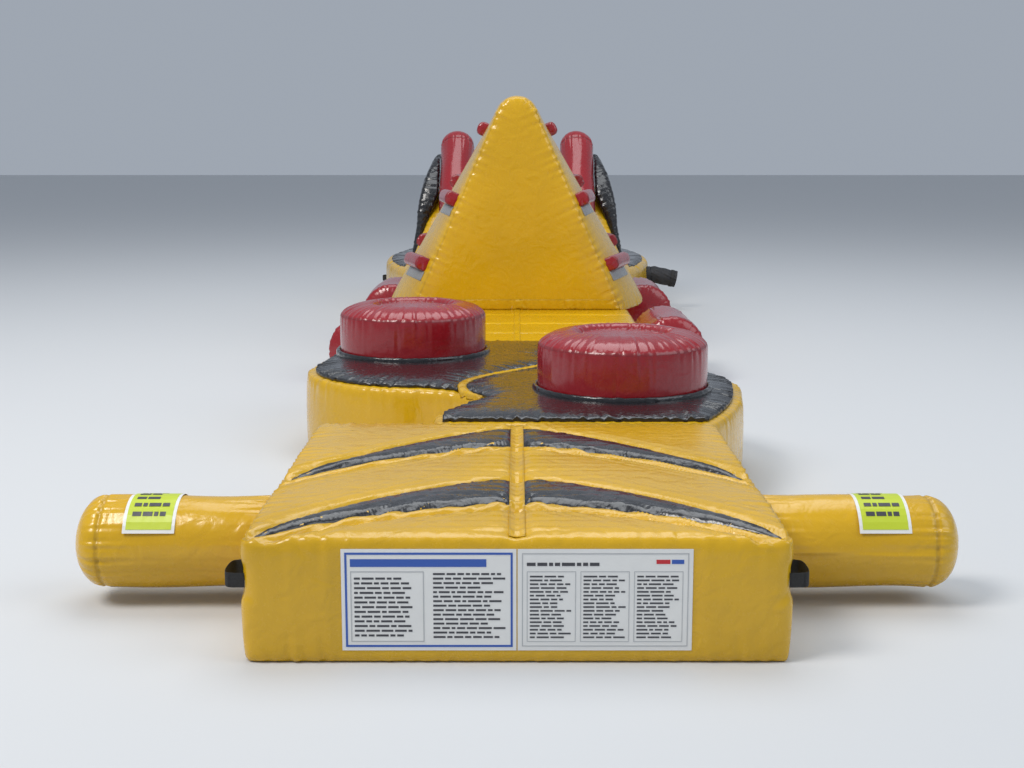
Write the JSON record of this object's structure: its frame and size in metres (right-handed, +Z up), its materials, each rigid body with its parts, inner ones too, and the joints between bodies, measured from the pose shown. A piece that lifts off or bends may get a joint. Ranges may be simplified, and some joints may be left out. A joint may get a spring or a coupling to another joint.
{
  "type": "inflatable obstacle course",
  "caption": "Yellow inflatable pool obstacle course with quilted entry mat, red drum bollards, a climbing fin with hand-hold blocks, side buoys and a slide tower.",
  "frame": {"origin": "middle of the footprint, on the floor under the chambers", "axes": "+Z up; +Y along the course from the entry mat to the slide; +X to the right seen from the entry mat"},
  "size_m": [3.28, 12.3534, 2.01],
  "materials": {
    "yellow_pvc": "glossy",
    "black_pvc": "glossy",
    "red_pvc": "glossy",
    "grey_patch": "matte",
    "card": "satin",
    "sleeve_fabric": "matte",
    "webbing": "matte",
    "inner_web": "matte",
    "zip_tape": "matte",
    "zip_metal": "satin"
  },
  "bodies": {
    "root": {"entry_mat": "yellow_pvc", "mat_centre_strip": "yellow_pvc", "mat_stripes_front": "black_pvc", "mat_stripes_rear": "black_pvc", "mat_webs": "inner_web", "care_cards": "card", "stabiliser_left": "yellow_pvc", "stabiliser_right": "yellow_pvc", "stabiliser_labels": "card", "bollard_base": "yellow_pvc", "bollard_webs": "inner_web", "base_divider": "yellow_pvc", "bollard_top_near": "black_pvc", "bollard_top_far": "black_pvc", "drum_near": "red_pvc", "drum_far": "red_pvc", "drum_ring_near": "black_pvc", "drum_ring_far": "black_pvc", "ring_join_tabs": "grey_patch", "course_base": "yellow_pvc", "course_webs": "inner_web", "course_centre_strip": "yellow_pvc", "fin": "yellow_pvc", "fin_webs": "inner_web", "fin_skirt": "yellow_pvc", "hem_straps": "yellow_pvc", "blocks_low_left": "red_pvc", "blocks_low_right": "red_pvc", "blocks_mid_left": "red_pvc", "blocks_mid_right": "red_pvc", "blocks_top_left": "red_pvc", "blocks_top_right": "red_pvc", "grip_patches": "grey_patch", "buoy_front_left": "red_pvc", "buoy_front_right": "red_pvc", "buoy_rear_left": "red_pvc", "buoy_rear_right": "red_pvc", "tower_base": "yellow_pvc", "tower_webs": "inner_web", "tower_top_left": "black_pvc", "tower_top_right": "black_pvc", "tower_body": "yellow_pvc", "tower_wall_left": "black_pvc", "tower_wall_right": "black_pvc", "tower_rail_left": "red_pvc", "tower_rail_right": "red_pvc", "slide_bed": "yellow_pvc", "sleeve_collar": "sleeve_fabric", "handle_tabs": "webbing", "zip_tapes": "zip_tape"},
    "handle_front_left": {"handle_front_left": "webbing"},
    "handle_front_right": {"handle_front_right": "webbing"},
    "handle_rear_left": {"handle_rear_left": "webbing"},
    "handle_rear_right": {"handle_rear_right": "webbing"},
    "sleeve": {"blower_sleeve": "sleeve_fabric", "sleeve_tie": "webbing"},
    "slider_mat": {"zip_slider_mat": "zip_metal"},
    "slider_course": {"zip_slider_course": "zip_metal"}
  },
  "joints": [
    {"name": "handle_front_left_hinge", "type": "hinge", "parent": "root", "child": "handle_front_left", "pos_m": [-0.9273, -6.08365, 0.28], "axis": [0, 1, 0], "range_deg": [-75, 75]},
    {"name": "handle_front_right_hinge", "type": "hinge", "parent": "root", "child": "handle_front_right", "pos_m": [0.9273, -6.08365, 0.28], "axis": [0, 1, 0], "range_deg": [-75, 75]},
    {"name": "handle_rear_left_hinge", "type": "hinge", "parent": "root", "child": "handle_rear_left", "pos_m": [-1.3673, 4.22665, 0.28], "axis": [0, 1, 0], "range_deg": [-75, 75]},
    {"name": "handle_rear_right_hinge", "type": "hinge", "parent": "root", "child": "handle_rear_right", "pos_m": [1.3673, 4.22665, 0.28], "axis": [0, 1, 0], "range_deg": [-75, 75]},
    {"name": "sleeve_hinge", "type": "hinge", "parent": "root", "child": "sleeve", "pos_m": [1.40427, 3.72635, 0.355], "axis": [0, 1, 0], "range_deg": [-40, 30]},
    {"name": "zip_mat_slide", "type": "slide", "parent": "root", "child": "slider_mat", "axis": [0, 1, 0], "range_m": [0, 0.386]},
    {"name": "zip_course_slide", "type": "slide", "parent": "root", "child": "slider_course", "axis": [0, 1, 0], "range_m": [0, 0.386]}
  ]
}
